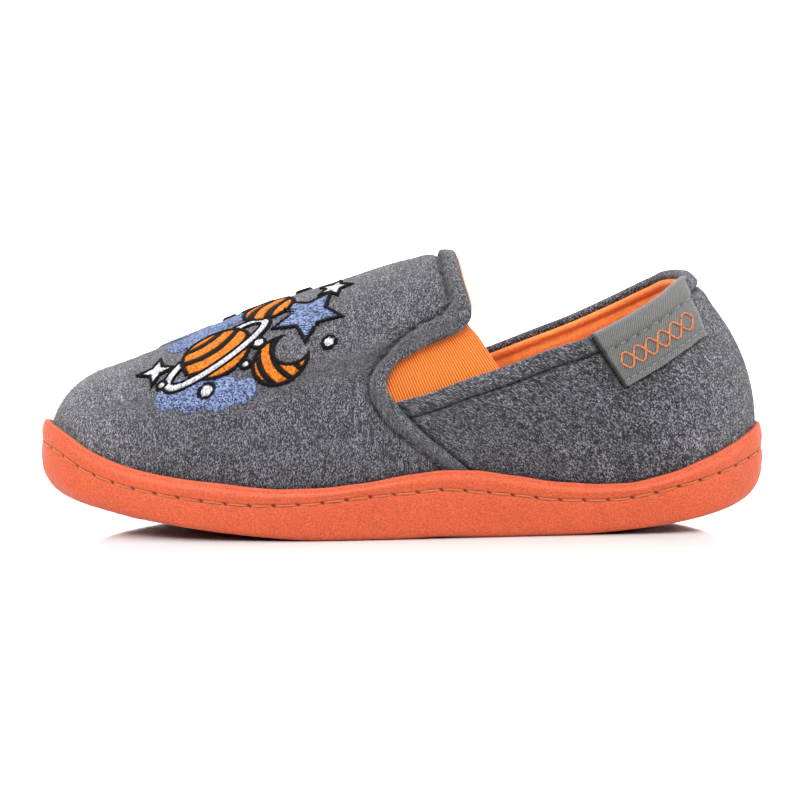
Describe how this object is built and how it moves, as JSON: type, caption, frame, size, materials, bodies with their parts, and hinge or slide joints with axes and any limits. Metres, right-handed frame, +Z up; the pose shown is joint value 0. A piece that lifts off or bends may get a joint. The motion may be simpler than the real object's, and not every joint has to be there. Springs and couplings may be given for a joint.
{
  "type": "slipper",
  "caption": "Child's left slip-on house slipper: padded jersey upper with an elastic gore at each side of the vamp, folded side label, and a moulded rubber cup sole with a stitched rim.",
  "frame": {"origin": "middle of the bounding box in plan, on the floor under the sole", "axes": "+X from toe to heel, +Z up, -Y towards the outer side of the left foot, which the picture shows"},
  "size_m": [0.2, 0.079, 0.0766],
  "materials": {
    "rubber": "matte moulded rubber, coral orange",
    "lining": "short orange fleece",
    "jersey": "grey marl jersey over thin foam",
    "elastic": "ribbed orange elastic",
    "ribbon": "grey satin ribbon"
  },
  "bodies": {
    "root": {"outsole": "rubber", "insole": "lining", "upper": "jersey", "gore_outer": "elastic", "gore_inner": "elastic", "label": "ribbon"}
  },
  "joints": []
}
